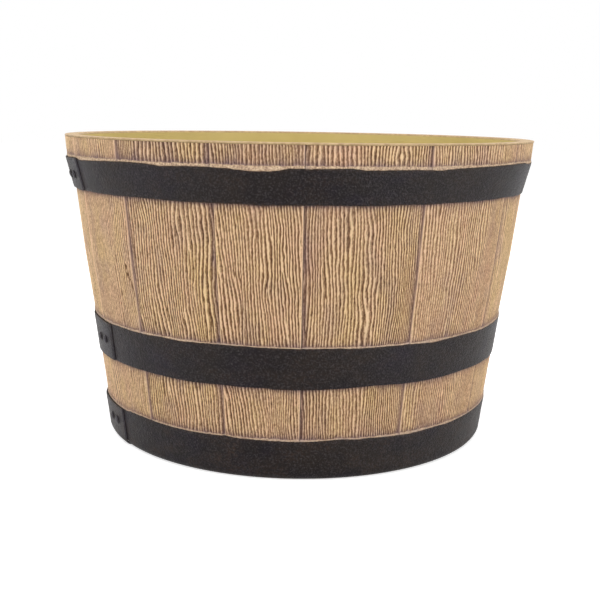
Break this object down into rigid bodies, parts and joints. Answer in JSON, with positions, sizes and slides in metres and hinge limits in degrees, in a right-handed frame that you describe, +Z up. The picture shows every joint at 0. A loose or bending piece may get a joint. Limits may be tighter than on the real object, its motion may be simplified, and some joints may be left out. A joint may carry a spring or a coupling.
{
  "type": "barrel planter",
  "caption": "Round half-barrel planter of tapered wooden staves with black riveted hoops, a doweled drained bottom and a smooth inner tub with a rolled lip.",
  "frame": {"origin": "on the ground, at the middle of the foot", "axes": "+Z up along the planter's axis, the front towards -Y, +X to its right as seen from the front"},
  "size_m": [0.52, 0.52, 0.33],
  "materials": {
    "stave_wood": "weathered light oak, deep vertical grain with a darker wash in it",
    "head_wood": "plain sawn softwood",
    "hoop_paint": "black, finely hammered, soft sheen",
    "tub_plastic": "satin mustard ochre"
  },
  "bodies": {
    "root": {"stave_01": "stave_wood", "stave_02": "stave_wood", "stave_03": "stave_wood", "stave_04": "stave_wood", "stave_05": "stave_wood", "stave_06": "stave_wood", "stave_07": "stave_wood", "stave_08": "stave_wood", "stave_09": "stave_wood", "stave_10": "stave_wood", "stave_11": "stave_wood", "stave_12": "stave_wood", "stave_13": "stave_wood", "stave_14": "stave_wood", "stave_15": "stave_wood", "upper_hoop": "hoop_paint", "middle_hoop": "hoop_paint", "lower_hoop": "hoop_paint", "upper_hoop_rivet_1": "hoop_paint", "upper_hoop_rivet_2": "hoop_paint", "middle_hoop_rivet_1": "hoop_paint", "middle_hoop_rivet_2": "hoop_paint", "lower_hoop_rivet_1": "hoop_paint", "lower_hoop_rivet_2": "hoop_paint", "head_board_1": "head_wood", "head_board_2": "head_wood", "head_board_3": "head_wood", "head_board_4": "head_wood", "head_board_5": "head_wood", "head_dowel_1": "head_wood", "head_dowel_2": "head_wood", "head_dowel_3": "head_wood", "head_dowel_4": "head_wood", "head_dowel_5": "head_wood", "head_dowel_6": "head_wood", "head_dowel_7": "head_wood", "head_dowel_8": "head_wood", "liner_tub": "tub_plastic"}
  },
  "joints": []
}
